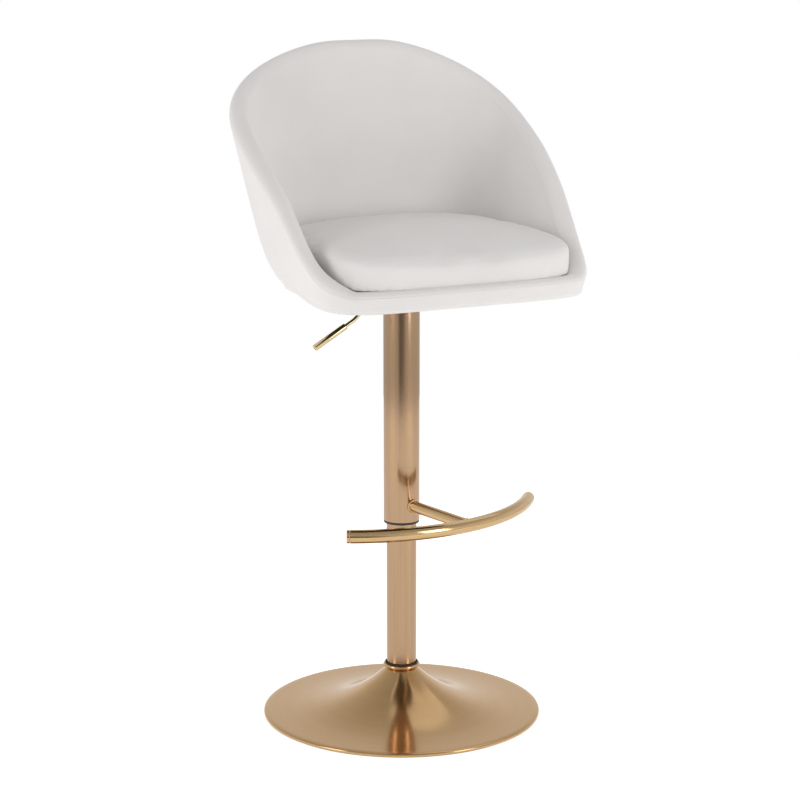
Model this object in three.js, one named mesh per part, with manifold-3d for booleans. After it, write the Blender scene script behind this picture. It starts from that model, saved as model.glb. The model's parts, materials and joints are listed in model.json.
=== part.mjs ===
// Height-adjustable swivel bar stool: trumpet base, gas-lift pole, sleeve with a footrest, bucket seat.
// Millimetres, +Z up. The origin is on the floor under the pole's axis, and the sitter faces -Y.
import * as THREE from "three";
import { mergeVertices } from "three/addons/utils/BufferGeometryUtils.js";
import Module from "manifold-3d";

const wasm = await Module();
wasm.setup();

// ---- Driving dimensions ----
const GAP = 0.35;                 // clearance where two separate pieces meet
const SLIDE_GAP = 0.5;            // clearance round a piece that slides or turns

const BASE_RADIUS = 232.5;
const BASE_NECK_Z = 79;           // top of the spun base, under the collar ring
const BASE_EDGE_Z = 7;            // top of the base's rolled edge
const BASE_SHEET = 2.5;
const HEM_LOW_Z = 1.5;            // the base's hem stops just above the floor
const BASE_FLARE = 3.1;           // how late the trumpet flares out
const FLOOR_RING_HEIGHT = 3;
const FLOOR_RING_WIDTH = 12;
const PLATE_RADIUS = 120;         // steel disc welded inside the base
const PLATE_THICKNESS = 4;
const PLATE_LOW_Z = 5;
const WEB = { height: 26, foot: 16, top: 3 };   // cone of weld and web between plate and column

const COLUMN_RADIUS = 25;
const COLUMN_WALL = 2;
const COLUMN_BOTTOM_Z = 18;
const COLUMN_TOP_Z = 440;
const COLLAR_WIDTH = 5.7;
const COLLAR_HEIGHT = 6;
const GASKET_WIDTH = 2.4;
const GASKET_HEIGHT = 2.2;
const BUSH_LENGTH = 60;           // guide bush in the column's mouth
const BEARING_RADIUS = 13;
const RACE_THICKNESS = 2.5;
const CAGE_THICKNESS = 4;
const STOP_RADIUS = 11;           // rubber bump stop above the bearing
const CLIP_RADIUS = 10;           // spring clip that holds the rod below the end plate

// The seat, sleeve and lever are drawn at the top of the lift; their heights follow this one.
const SEAT_PLATE_Z = 727.3;       // underside of the steel seat plate
const SEAT_PLATE_THICKNESS = 3;
const SEAT_PLATE_WIDTH = 190;
const SEAT_PLATE_DEPTH = 160;
const BOLT_SPACING_X = 150;
const BOLT_SPACING_Y = 120;
const BOLT_RADIUS = 3;
const BOLT_HEAD = { radius: 5.5, height: 5 };
const WASHER_THICKNESS = 1.5;
const WASHER_WIDTH = 4.65;
const TEE_NUT = { wall: 1.4, flange: 5.65, sheet: 1.2 };
const HOUSING = { length: 84, width: 38, height: 20, sheet: 2 };
const HOUSING_TOP_Z = SEAT_PLATE_Z - GAP;
const HOUSING_LOW_Z = HOUSING_TOP_Z - HOUSING.height;

const ROD_RADIUS = 5;
const TUBE_RADIUS = 14;           // gas spring's pressure tube
const TUBE_WALL = 2;
const TUBE_BOTTOM_Z = COLUMN_TOP_Z - 75;
const TUBE_TOP_Z = HOUSING_LOW_Z - 1.95;
const TUBE_HEAD = 14;             // solid head of the tube, round the valve pin
const TAPER_LENGTH = 46;          // tapered top of the tube, pressed into the hub
const TAPER_DROP = 0.9;           // how much the radius shrinks over the taper
const HUB_WALL = 6;
const HUB_RADIUS = TUBE_RADIUS + HUB_WALL;
const VALVE_RADIUS = 2.5;

const SLEEVE_WALL = 1.5;
const SLEEVE_CLEARANCE = 3.5;     // between the column and the sleeve, filled by the bushes
const SLEEVE_RADIUS = COLUMN_RADIUS + SLEEVE_CLEARANCE + SLEEVE_WALL;
const SLEEVE_BOTTOM_Z = COLUMN_TOP_Z - 106;
const SLEEVE_TOP_Z = HOUSING_LOW_Z - 8.95;
const LOWER_BUSH_DROP = 3.5;      // black bush seen below the sleeve's edge

const FOOTREST_TURN = 12;         // degrees the sleeve is turned from the seat's front
const BAR_RADIUS = 11;
const BAR_ARC_RADIUS = 300;
const BAR_REACH = 171;            // pole axis to the middle of the bar
const BAR_HALF_ANGLE = 39.5;
const BAR_Z = SLEEVE_BOTTOM_Z + 24;
const STRUT_RADIUS = 9.5;
const STRUT_RISE = 4;             // how much higher the strut starts at the sleeve

const LEVER_RADIUS = 3.1;
const GRIP_RADIUS = 5.3;
const PIVOT_RADIUS = 2;
const LEVER_Z = SEAT_PLATE_Z - 12.3;
const VALVE_TOP_Z = LEVER_Z - LEVER_RADIUS - 0.9;
const PIVOT_X = -28;
const LEVER_BEND_X = -56;
const LEVER_KNEE = { x: -82, z: LEVER_Z - 35 };
const LEVER_TIP = { x: -158, z: LEVER_Z - 78 };
const GRIP_START = 0.27;          // share of the lower run that is bare rod

const SEAT_BOTTOM_Z = SEAT_PLATE_Z + 0.7;
const SEAT_HEIGHT = 388;          // from the shell's foot to the top of the back
const SEAT_TOP_Z = SEAT_BOTTOM_Z + SEAT_HEIGHT;
const RAIL_TOP_Z = SEAT_BOTTOM_Z + 34;
const RAIL_DEPTH = 58;            // how far back from the front edge the front rail runs
const LIP_WIDTH = 26;             // cover turned in under the board
const BOARD_THICKNESS = 13;
const BOARD_CLEARANCE = 2;
const COVER_THICKNESS = 3;
const PLY_THICKNESS = 8;
const PLY_GAP = 1.8;              // slack between the bent frame and the curved layers beside it
const LEDGE_GAP = 1.2;            // slack between the rim's roll and the frame and cover under it
const THINNEST_PAD = 6;
const ROLL_RADIUS = 14;           // padded roll along the rim
const CUSHION_BOTTOM_Z = RAIL_TOP_Z + 1;
const CUSHION_BOARD_THICKNESS = 12;
const CUSHION_FRONT_Z = CUSHION_BOTTOM_Z + 43;
const CUSHION_CROWN_Z = CUSHION_BOTTOM_Z + 75;
const CUSHION_CLEARANCE = 2.5;
const CUSHION_OVER_RAIL = 22;     // how far the cushion reaches forward over the front rail
const DUST_COVER_THICKNESS = 1;
const DUST_COVER_CLEARANCE = 4;

// Plan outlines: half width at the middle and at the front, reach to the front and to the back,
// and how square the corners are. bottom is the shell's foot, rim its widest line, floor the inside.
const OUTLINE = {
  bottom: { middle: 186, front: 252, reach: 244, back: 124, frontSquare: 6, backSquare: 2.6 },
  rim: { middle: 270, front: 228, reach: 245, back: 181, frontSquare: 6, backSquare: 3.45 },
  floor: { middle: 196, front: 228, reach: 219, back: 116, frontSquare: 6, backSquare: 2.8 },
};
const RIM_CORNER_ANGLE = 42;      // degrees from the front where the arms start to climb
const RIM_CLIMB = [[0, 0], [0.1, 0.11], [0.24, 0.388], [0.45, 0.663], [0.64, 0.89], [0.8, 0.983], [1, 1]];
const WALL_STRAIGHT = 0.69;       // share of the outer wall's swing that grows evenly with height
const WALL_BULGE = 8.5;           // how soon the rest of the swing is done above the foot
const SEAT_STEPS = 40;            // plan angles shared by every nested seat piece

// ---- Finishes ----
function finish(color, roughness, metalness) {
  return new THREE.MeshStandardMaterial({ color, roughness, metalness });
}

const gold = () => finish(0xb48a66, 0.32, 1);
const goldBright = () => finish(0xc9a66b, 0.18, 1);
const steel = () => finish(0x9a9c9e, 0.4, 1);
const zinc = () => finish(0xb9bcc0, 0.35, 1);
const blackPlastic = () => finish(0x18181a, 0.55, 0);
const blackRubber = () => finish(0x1b1b1b, 0.85, 0);
const plywood = () => finish(0xc9a676, 0.7, 0);
const leather = () => finish(0xe2ddd8, 0.55, 0);
const cloth = () => finish(0x202022, 0.95, 0);

// ---- Geometry helpers ----
const TURN = Math.PI * 2;
const radians = THREE.MathUtils.degToRad;
const clamp01 = (value) => Math.min(1, Math.max(0, value));

// Evenly spaced numbers from low to high, both included.
function levels(low, high, count) {
  return Array.from({ length: count }, (_, i) => low + ((high - low) * i) / (count - 1));
}

// A closed, welded mesh with its faces pointing out.
function closed(geometry) {
  geometry.deleteAttribute("normal");
  geometry.deleteAttribute("uv");
  const welded = mergeVertices(geometry, 1e-4);
  const point = welded.getAttribute("position");
  const corners = [];
  let volume = 0;
  for (let i = 0; i < welded.index.count; i += 3) {
    const [a, b, c] = [0, 1, 2].map((k) => welded.index.getX(i + k));
    if (a === b || b === c || c === a) continue;
    corners.push(a, b, c);
    const [p, q, r] = [a, b, c].map((k) => new THREE.Vector3().fromBufferAttribute(point, k));
    volume += p.dot(q.cross(r));
  }
  welded.setIndex(volume < 0 ? corners.reverse() : corners);
  return welded;
}

function toManifold(geometry) {
  const { index, attributes } = closed(geometry);
  const vertProperties = Float32Array.from(attributes.position.array);
  const mesh = new wasm.Mesh({ numProp: 3, vertProperties, triVerts: Uint32Array.from(index.array) });
  mesh.merge();
  return new wasm.Manifold(mesh);
}

function toGeometry(manifold) {
  const { vertProperties, triVerts } = manifold.getMesh();
  const geometry = new THREE.BufferGeometry();
  geometry.setAttribute("position", new THREE.Float32BufferAttribute(vertProperties, 3));
  return geometry.setIndex(Array.from(triVerts));
}

function cut(geometry, ...tools) {
  return toGeometry(tools.reduce((body, tool) => body.subtract(toManifold(tool)), toManifold(geometry)));
}

function keepInside(geometry, tool) {
  return toGeometry(toManifold(geometry).intersect(toManifold(tool)));
}

// A profile of [radius, z] points turned about the Z axis.
function turned(profile, segments = 32) {
  const points = profile.map(([radius, z]) => new THREE.Vector2(radius, z));
  return closed(new THREE.LatheGeometry(points, segments).rotateX(Math.PI / 2));
}

function tube(inner, outer, low, high, segments = 32) {
  return turned([[inner, low], [outer, low], [outer, high], [inner, high], [inner, low]], segments);
}

function rod(radius, low, high, segments = 20) {
  return turned([[0, low], [radius, low], [radius, high], [0, high]], segments);
}

function block(width, depth, low, high) {
  return new THREE.BoxGeometry(width, depth, high - low).translate(0, 0, (low + high) / 2);
}

// A round bar along a curve.
function swept(curve, radius, steps, sides = 12) {
  const section = new THREE.Shape();
  for (let i = 0; i < sides; i++) {
    const angle = (i / sides) * TURN;
    const [x, y] = [radius * Math.cos(angle), radius * Math.sin(angle)];
    if (i === 0) section.moveTo(x, y);
    else section.lineTo(x, y);
  }
  section.closePath();
  return new THREE.ExtrudeGeometry(section, { steps, extrudePath: curve, bevelEnabled: false });
}

// ---- Bucket seat surfaces, in plan polar form: angle 0 is the front, positive towards +X ----
function outlineRadius({ middle, front, reach, back, frontSquare, backSquare }, angle) {
  const across = Math.abs(Math.sin(angle));
  const along = Math.cos(angle);
  const half = along > 0 ? middle + (front - middle) * along ** 1.2 : middle;
  const [length, square] = along > 0 ? [reach, frontSquare] : [back, backSquare];
  return ((across / half) ** square + (Math.abs(along) / length) ** square) ** (-1 / square);
}

function angleFromFront(angle) {
  return Math.abs(THREE.MathUtils.euclideanModulo(angle + Math.PI, TURN) - Math.PI);
}

// Height of the rim's crest: level along the front rail, then climbing over the arms to the back.
function rimHeight(angle) {
  const corner = radians(RIM_CORNER_ANGLE);
  const share = clamp01((angleFromFront(angle) - corner) / (Math.PI - corner));
  return RAIL_TOP_Z + (SEAT_TOP_Z - RAIL_TOP_Z) * throughPoints(RIM_CLIMB, share);
}

// A smooth curve through a few [x, y] points, with Catmull-Rom slopes and level ends past the last.
function throughPoints(points, x) {
  const last = points.length - 1;
  const slope = (i) => {
    const [from, to] = [points[Math.max(0, i - 1)], points[Math.min(last, i + 1)]];
    return i === last ? 0 : (to[1] - from[1]) / (to[0] - from[0]);
  };
  const i = Math.min(last, points.filter(([start]) => start <= x).length) - 1;
  const width = points[i + 1][0] - points[i][0];
  const t = (x - points[i][0]) / width;
  const start = (2 * t ** 3 - 3 * t ** 2 + 1) * points[i][1] + (t ** 3 - 2 * t ** 2 + t) * width * slope(i);
  return start + (3 * t ** 2 - 2 * t ** 3) * points[i + 1][1] + (t ** 3 - t ** 2) * width * slope(i + 1);
}

// Distance from the axis to the outer skin, swinging out from the foot to the rim's outline.
function outerRadius(angle, z) {
  const share = clamp01((z - SEAT_BOTTOM_Z) / (rimHeight(angle) - ROLL_RADIUS - SEAT_BOTTOM_Z));
  const foot = outlineRadius(OUTLINE.bottom, angle);
  const swing = WALL_STRAIGHT * share + (1 - WALL_STRAIGHT) * (1 - (1 - share) ** WALL_BULGE);
  return foot + (outlineRadius(OUTLINE.rim, angle) - foot) * swing;
}

// Distance from the axis to the inner skin: a straight lean from the floor to the rim's roll,
// leaving room for the cover, the frame and the thinnest padding.
function innerRadius(angle, z) {
  const share = clamp01((z - RAIL_TOP_Z) / (rimHeight(angle) - RAIL_TOP_Z + 1));
  const floor = outlineRadius(OUTLINE.floor, angle);
  const lean = floor + (outlineRadius(OUTLINE.rim, angle) - 2 * ROLL_RADIUS - floor) * share;
  const wall = COVER_THICKNESS + PLY_THICKNESS + 2 * PLY_GAP + THINNEST_PAD;
  return Math.min(lean, outerRadius(angle, z) - wall);
}

// A closed ring whose cross-section at each plan angle is a loop of [radius, z] points.
// Every four-sided cell is split from its upper corner here to its lower corner at the next angle,
// whichever way the loop runs, so that layers with the same angles and heights nest.
function ringOf(sectionAt, count = SEAT_STEPS) {
  const positions = [];
  const corners = [];
  const size = sectionAt(0).length;
  for (let i = 0; i < count; i++) {
    const angle = (i / count) * TURN;
    const section = sectionAt(angle);
    for (const [radius, z] of section) {
      positions.push(radius * Math.sin(angle), -radius * Math.cos(angle), z);
    }
    for (let j = 0; j < size; j++) {
      const [here, next] = [i * size, ((i + 1) % count) * size];
      const after = (j + 1) % size;
      const [a, b, c, d] = [here + j, here + after, next + j, next + after];
      const rises = section[after][1] >= section[j][1];
      corners.push(...(rises ? [a, c, b, b, c, d] : [a, c, d, a, d, b]));
    }
  }
  const geometry = new THREE.BufferGeometry();
  geometry.setAttribute("position", new THREE.Float32BufferAttribute(positions, 3));
  return closed(geometry.setIndex(corners));
}

// A closed disc-like body: stations of [share of the outline, z] from the lower pole to the upper one.
function padOf(radiusAt, stationsAt, count = SEAT_STEPS) {
  const positions = [];
  const corners = [];
  const size = stationsAt(0).length;
  for (let i = 0; i < count; i++) {
    const angle = (i / count) * TURN;
    for (const [share, z] of stationsAt(angle)) {
      const radius = share * radiusAt(angle);
      positions.push(radius * Math.sin(angle), -radius * Math.cos(angle), z);
    }
    for (let j = 0; j + 1 < size; j++) {
      const [here, next] = [i * size + j, ((i + 1) % count) * size + j];
      corners.push(here, next, here + 1, here + 1, next, next + 1);
    }
  }
  const geometry = new THREE.BufferGeometry();
  geometry.setAttribute("position", new THREE.Float32BufferAttribute(positions, 3));
  return closed(geometry.setIndex(corners));
}

function slabOf(radiusAt, low, high) {
  return padOf(radiusAt, () => [[0, low], [1, low], [1, high], [0, high]]);
}

// ---- The group ----
const stool = new THREE.Group();

function add(name, geometry, material, parent = stool) {
  const mesh = new THREE.Mesh(geometry, material);
  mesh.name = name;
  parent.add(mesh);
  return mesh;
}

// ---- Base: spun trumpet, floor ring, inner plate and collar ----
function trumpetZ(radius) {
  const share = (BASE_RADIUS - radius) / (BASE_RADIUS - COLUMN_RADIUS);
  return BASE_EDGE_Z + (BASE_NECK_Z - BASE_EDGE_Z) * (0.07 * share + 0.93 * share ** BASE_FLARE);
}

// The profile's steps are short at the steep neck and long on the flat skirt.
function baseShell() {
  const neck = COLUMN_RADIUS + GAP;
  const skirt = BASE_RADIUS - 5;
  const radii = levels(0, 1, 8).map((share) => neck + (skirt - neck) * (0.2 * share + 0.8 * share ** 3));
  const top = radii.map((radius) => [radius, trumpetZ(radius)]);
  const edge = [[BASE_RADIUS - 1, BASE_EDGE_Z - 1], [BASE_RADIUS, BASE_EDGE_Z - 3], [BASE_RADIUS, HEM_LOW_Z]];
  const inside = BASE_RADIUS - BASE_SHEET;
  const lip = [[inside, HEM_LOW_Z], [inside, BASE_EDGE_Z - BASE_SHEET]];
  const under = radii.slice(2, -1).reverse().map((radius) => [radius, trumpetZ(radius) - BASE_SHEET]);
  const profile = [...top, ...edge, ...lip, ...under, [neck, trumpetZ(radii[1]) - BASE_SHEET], top[0]];
  return turned(profile, 48);
}

function floorRing() {
  const outer = BASE_RADIUS - BASE_SHEET - GAP;
  return tube(outer - FLOOR_RING_WIDTH, outer, 0, FLOOR_RING_HEIGHT, 48);
}

function reinforcingPlate() {
  return tube(COLUMN_RADIUS + GAP, PLATE_RADIUS, PLATE_LOW_Z, PLATE_LOW_Z + PLATE_THICKNESS, 40);
}

function plateWeb() {
  const low = PLATE_LOW_Z + PLATE_THICKNESS + GAP;
  const high = low + WEB.height;
  const foot = COLUMN_RADIUS + GAP;
  return turned([[foot, low], [foot + WEB.foot, low], [foot + WEB.top, high], [foot, high], [foot, low]], 32);
}

function collarRing() {
  const inner = COLUMN_RADIUS + GAP;
  const low = BASE_NECK_Z + GAP;
  const high = low + COLLAR_HEIGHT;
  const round = COLLAR_HEIGHT / 2;
  const middle = COLUMN_RADIUS + COLLAR_WIDTH - round;
  const bead = [];
  for (let i = 0; i <= 4; i++) {
    const angle = -Math.PI / 2 + (i / 4) * Math.PI;
    bead.push([middle + round * Math.cos(angle), low + round + round * Math.sin(angle)]);
  }
  return turned([[inner, low], ...bead, [inner, high], [inner, low]], 32);
}

function buildBase() {
  add("base_shell", baseShell(), gold());
  add("floor_ring", floorRing(), blackRubber());
  add("reinforcing_plate", reinforcingPlate(), steel());
  add("plate_web", plateWeb(), steel());
  add("collar_ring", collarRing(), gold());
  const gasketLow = BASE_NECK_Z + COLLAR_HEIGHT + 2 * GAP;
  const gasketOuter = COLUMN_RADIUS + GASKET_WIDTH;
  const gasket = tube(COLUMN_RADIUS + GAP, gasketOuter, gasketLow, gasketLow + GASKET_HEIGHT);
  add("collar_gasket", gasket, blackRubber());
}

// ---- Column: fixed tube with its end plate, thrust bearing and guide bush ----
const END_PLATE_LOW = COLUMN_BOTTOM_Z + 4;
const END_PLATE_HIGH = END_PLATE_LOW + 4;
const COLUMN_BORE = COLUMN_RADIUS - COLUMN_WALL;

function buildColumn() {
  add("column_tube", tube(COLUMN_BORE, COLUMN_RADIUS, COLUMN_BOTTOM_Z, COLUMN_TOP_Z, 40), gold());
  const hole = ROD_RADIUS + SLIDE_GAP;
  add("column_end_plate", tube(hole, COLUMN_BORE - GAP, END_PLATE_LOW, END_PLATE_HIGH), steel());
  const lowerRace = END_PLATE_HIGH + GAP;
  const cage = lowerRace + RACE_THICKNESS + GAP;
  add("bearing_lower_race", tube(hole, BEARING_RADIUS, lowerRace, lowerRace + RACE_THICKNESS, 24), steel());
  add("bearing_ball_cage", tube(hole + 0.5, BEARING_RADIUS - 1, cage, cage + CAGE_THICKNESS, 24), steel());
  const bush = tube(TUBE_RADIUS + SLIDE_GAP, COLUMN_BORE - GAP, COLUMN_TOP_Z - BUSH_LENGTH, COLUMN_TOP_Z);
  add("guide_bush", bush, blackPlastic());
}

// ---- Spindle: the piston rod that stands on the bearing and turns with the seat ----
function buildSpindle() {
  const race = END_PLATE_HIGH + 3 * GAP + RACE_THICKNESS + CAGE_THICKNESS;
  add("piston_rod", rod(ROD_RADIUS, COLUMN_BOTTOM_Z - 6, TUBE_BOTTOM_Z + 24), steel());
  const seat = ROD_RADIUS + GAP;
  const raceTop = race + RACE_THICKNESS;
  add("bearing_upper_race", tube(seat, BEARING_RADIUS, race, raceTop, 24), steel());
  add("rod_clip", tube(seat, CLIP_RADIUS, END_PLATE_LOW - GAP - 2, END_PLATE_LOW - GAP, 20), zinc());
  add("bump_stop", tube(seat, STOP_RADIUS, raceTop + GAP, raceTop + 21.5, 24), blackRubber());
  const pistonLow = TUBE_BOTTOM_Z + 25;
  const piston = rod(TUBE_RADIUS - TUBE_WALL - SLIDE_GAP, pistonLow, pistonLow + 10, 24);
  add("gas_piston", piston, steel());
}

// ---- Gas spring tube, hub and seat plate ----
function gasTube() {
  const bore = TUBE_RADIUS - TUBE_WALL;
  const top = TUBE_RADIUS - TAPER_DROP;
  const valve = VALVE_RADIUS + SLIDE_GAP;
  return turned([
    [bore, TUBE_BOTTOM_Z], [TUBE_RADIUS, TUBE_BOTTOM_Z], [TUBE_RADIUS, TUBE_TOP_Z - TAPER_LENGTH],
    [top, TUBE_TOP_Z], [valve, TUBE_TOP_Z], [valve, TUBE_TOP_Z - TUBE_HEAD], [bore, TUBE_TOP_Z - TUBE_HEAD],
    [bore, TUBE_BOTTOM_Z],
  ], 32);
}

function hubSocket() {
  const low = TUBE_TOP_Z - TAPER_LENGTH;
  const high = HOUSING_LOW_Z - GAP;
  const mouth = TUBE_RADIUS + GAP;
  const throat = TUBE_RADIUS - TAPER_DROP + GAP;
  return turned([[mouth, low], [HUB_RADIUS, low], [HUB_RADIUS, high], [throat, high], [mouth, low]], 32);
}

function pivotRod(radius, length) {
  return new THREE.CylinderGeometry(radius, radius, length, 16).translate(PIVOT_X, 0, LEVER_Z);
}

// Folded steel box under the plate that carries the lever's pivot; open below over the hub.
function leverHousing() {
  const { length, width, sheet } = HOUSING;
  const inside = block(length - 2 * sheet, width - 2 * sheet, HOUSING_LOW_Z - 1, HOUSING_TOP_Z - sheet);
  const slotBlock = block(2 * sheet + 2, 4 * LEVER_RADIUS, HOUSING_LOW_Z - 1, HOUSING_TOP_Z - 2 * sheet);
  const slot = slotBlock.translate(-length / 2, 0, 0);
  const pin = pivotRod(PIVOT_RADIUS + GAP, width + 2);
  return cut(block(length, width, HOUSING_LOW_Z, HOUSING_TOP_Z), inside, slot, pin);
}

function boltPlaces() {
  const [x, y] = [BOLT_SPACING_X / 2, BOLT_SPACING_Y / 2];
  return [[-x, -y], [x, -y], [x, y], [-x, y]];
}

function boltHoles(low, high, radius) {
  return boltPlaces().map(([x, y]) => rod(radius, low - 1, high + 1, 16).translate(x, y, 0));
}

function seatPlate() {
  const high = SEAT_PLATE_Z + SEAT_PLATE_THICKNESS;
  const holes = boltHoles(SEAT_PLATE_Z, high, BOLT_RADIUS + GAP);
  return cut(block(SEAT_PLATE_WIDTH, SEAT_PLATE_DEPTH, SEAT_PLATE_Z, high), ...holes);
}

const BOARD_LOW_Z = SEAT_PLATE_Z + SEAT_PLATE_THICKNESS + DUST_COVER_THICKNESS + 2 * GAP;
const BOARD_TOP_Z = BOARD_LOW_Z + BOARD_THICKNESS;

// Each corner of the seat plate: a bolt from below, its washer, and the flanged nut in the board.
function buildFasteners() {
  boltPlaces().forEach(([x, y], i) => {
    const washerHigh = SEAT_PLATE_Z - GAP;
    const headHigh = washerHigh - WASHER_THICKNESS - GAP;
    const headLow = headHigh - BOLT_HEAD.height;
    const head = [[0, headLow], [BOLT_HEAD.radius, headLow], [BOLT_HEAD.radius, headHigh]];
    const bolt = turned([...head, [BOLT_RADIUS, headHigh], [BOLT_RADIUS, BOARD_TOP_Z], [0, BOARD_TOP_Z]], 12);
    add(`plate_bolt_${i + 1}`, bolt.translate(x, y, 0), zinc());
    const bore = BOLT_RADIUS + GAP;
    const washer = tube(bore, bore + WASHER_WIDTH, washerHigh - WASHER_THICKNESS, washerHigh, 16);
    add(`plate_washer_${i + 1}`, washer.translate(x, y, 0), zinc());
    const barrel = bore + TEE_NUT.wall;
    const rim = bore + TEE_NUT.flange;
    const low = BOARD_LOW_Z + 3;
    const flange = BOARD_TOP_Z + GAP;
    const top = flange + TEE_NUT.sheet;
    const nut = [[bore, low], [barrel, low], [barrel, flange], [rim, flange], [rim, top], [bore, top]];
    add(`tee_nut_${i + 1}`, turned([...nut, nut[0]], 12).translate(x, y, 0), zinc());
  });
}

function buildMechanism() {
  add("gas_tube", gasTube(), steel());
  const glandOuter = TUBE_RADIUS - TUBE_WALL - GAP;
  const gland = tube(ROD_RADIUS + SLIDE_GAP, glandOuter, TUBE_BOTTOM_Z, TUBE_BOTTOM_Z + 12, 24);
  add("tube_gland", gland, blackRubber());
  add("hub_socket", hubSocket(), steel());
  add("lever_housing", leverHousing(), blackPlastic());
  add("lever_pivot_pin", pivotRod(PIVOT_RADIUS, HOUSING.width + 3), zinc());
  add("seat_plate", seatPlate(), blackPlastic());
  const pinLow = TUBE_TOP_Z - TUBE_HEAD + 2;
  add("valve_pin", rod(VALVE_RADIUS, pinLow, VALVE_TOP_Z, 12), zinc());
}

// ---- Lever: a bent rod through the housing with a thicker grip at its tip ----
function buildLever() {
  const start = new THREE.Vector3(2, 0, LEVER_Z);
  const bend = new THREE.Vector3(LEVER_BEND_X, 0, LEVER_Z);
  const knee = new THREE.Vector3(LEVER_KNEE.x, 0, LEVER_KNEE.z);
  const tip = new THREE.Vector3(LEVER_TIP.x, 0, LEVER_TIP.z);
  const gripStart = knee.clone().lerp(tip, GRIP_START);
  const bare = gripStart.clone().lerp(knee, 0.02);
  const middle = (a, b, share) => a.clone().lerp(b, share);
  const path = new THREE.CurvePath();
  path.add(new THREE.LineCurve3(start, middle(start, bend, 0.75)));
  path.add(new THREE.QuadraticBezierCurve3(middle(start, bend, 0.75), bend, middle(bend, knee, 0.35)));
  path.add(new THREE.LineCurve3(middle(bend, knee, 0.35), middle(bend, knee, 0.7)));
  path.add(new THREE.QuadraticBezierCurve3(middle(bend, knee, 0.7), knee, middle(knee, gripStart, 0.4)));
  path.add(new THREE.LineCurve3(middle(knee, gripStart, 0.4), bare));
  const pin = pivotRod(PIVOT_RADIUS + GAP, 20);
  add("lever_rod", cut(swept(path, LEVER_RADIUS, 20, 8), pin), goldBright());
  const grip = new THREE.Object3D();
  grip.position.copy(gripStart);
  grip.lookAt(tip);
  const length = gripStart.distanceTo(tip);
  const round = GRIP_RADIUS * 0.4;
  const end = [[GRIP_RADIUS, length - round], [GRIP_RADIUS - round, length], [0, length]];
  add("lever_grip", turned([[0, 0], [GRIP_RADIUS, 0], ...end], 16), goldBright(), grip);
  stool.add(grip);
}

// ---- Sleeve and footrest: turned together about the pole ----
function footrestCurve() {
  const centre = BAR_ARC_RADIUS - BAR_REACH;
  const half = radians(BAR_HALF_ANGLE);
  const arc = new THREE.Curve();
  arc.getPoint = (t, target = new THREE.Vector3()) => {
    const angle = (2 * t - 1) * half;
    const [x, y] = [BAR_ARC_RADIUS * Math.sin(angle), centre - BAR_ARC_RADIUS * Math.cos(angle)];
    return target.set(x, y, BAR_Z);
  };
  return arc;
}

// Tube from the sleeve to the back of the bar, its ends cut to both of them.
function footrestStrut() {
  const inside = new THREE.Vector3(0, -(SLEEVE_RADIUS - 6), BAR_Z + STRUT_RISE);
  const outside = new THREE.Vector3(0, -(BAR_REACH - 2), BAR_Z);
  const tubeSolid = swept(new THREE.LineCurve3(inside, outside), STRUT_RADIUS, 1, 20);
  const sleeve = rod(SLEEVE_RADIUS + GAP, BAR_Z - 60, BAR_Z + 60, 48);
  const bar = swept(footrestCurve(), BAR_RADIUS + GAP, 20, 14);
  return cut(tubeSolid, sleeve, bar);
}

// Domed plug that closes one end of the bar.
function endCap(side) {
  const half = radians(BAR_HALF_ANGLE);
  const end = [side * BAR_ARC_RADIUS * Math.sin(half), BAR_ARC_RADIUS * (1 - Math.cos(half)) - BAR_REACH];
  const round = [[0, GAP], [BAR_RADIUS - 0.2, GAP], [BAR_RADIUS - 0.2, 2.5], [BAR_RADIUS - 2, 5], [0, 6]];
  const cap = turned(round, 20).rotateX(Math.PI / 2).rotateZ(Math.PI / 2);
  cap.rotateZ(side > 0 ? half : Math.PI - half);
  return cap.translate(...end, BAR_Z);
}

function buildFootrest() {
  const group = new THREE.Group();
  group.rotation.z = radians(FOOTREST_TURN);
  stool.add(group);
  const bore = SLEEVE_RADIUS - SLEEVE_WALL;
  add("sleeve_tube", tube(bore, SLEEVE_RADIUS, SLEEVE_BOTTOM_Z, SLEEVE_TOP_Z, 48), gold(), group);
  const lip = SLEEVE_BOTTOM_Z - GAP;
  const rise = SLEEVE_BOTTOM_Z + 24;
  const flange = SLEEVE_RADIUS - 0.4;
  const running = COLUMN_RADIUS + SLIDE_GAP;
  const bush = [[running, lip - LOWER_BUSH_DROP], [flange, lip - LOWER_BUSH_DROP], [flange, lip]];
  bush.push([bore - GAP, lip], [bore - GAP, rise], [running, rise], bush[0]);
  add("sleeve_lower_bush", turned(bush, 40), blackPlastic(), group);
  const topBush = tube(HUB_RADIUS + GAP, bore - GAP, SLEEVE_TOP_Z - 30, SLEEVE_TOP_Z - 2);
  add("sleeve_top_bush", topBush, blackPlastic(), group);
  add("footrest_bar", swept(footrestCurve(), BAR_RADIUS, 20, 14), gold(), group);
  add("footrest_strut", footrestStrut(), gold(), group);
  add("footrest_cap_left", endCap(-1), gold(), group);
  add("footrest_cap_right", endCap(1), gold(), group);
}

// ---- Seat: boards, bent plywood frame, padding, covers and cushion ----
const PAD_FLOOR_Z = BOARD_TOP_Z + GAP;

// Depth of the rim roll at one plan angle: full on the arms and back, shallower on the front rail.
function rollDepth(angle) {
  return Math.min(ROLL_RADIUS + 3, (rimHeight(angle) - PAD_FLOOR_Z) * 0.5);
}

// Heights shared by the cover, the frame and the back of the padding, so that they nest.
function wallHeights(angle) {
  return levels(PAD_FLOOR_Z, rimHeight(angle) - rollDepth(angle) - LEDGE_GAP, 6);
}

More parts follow.
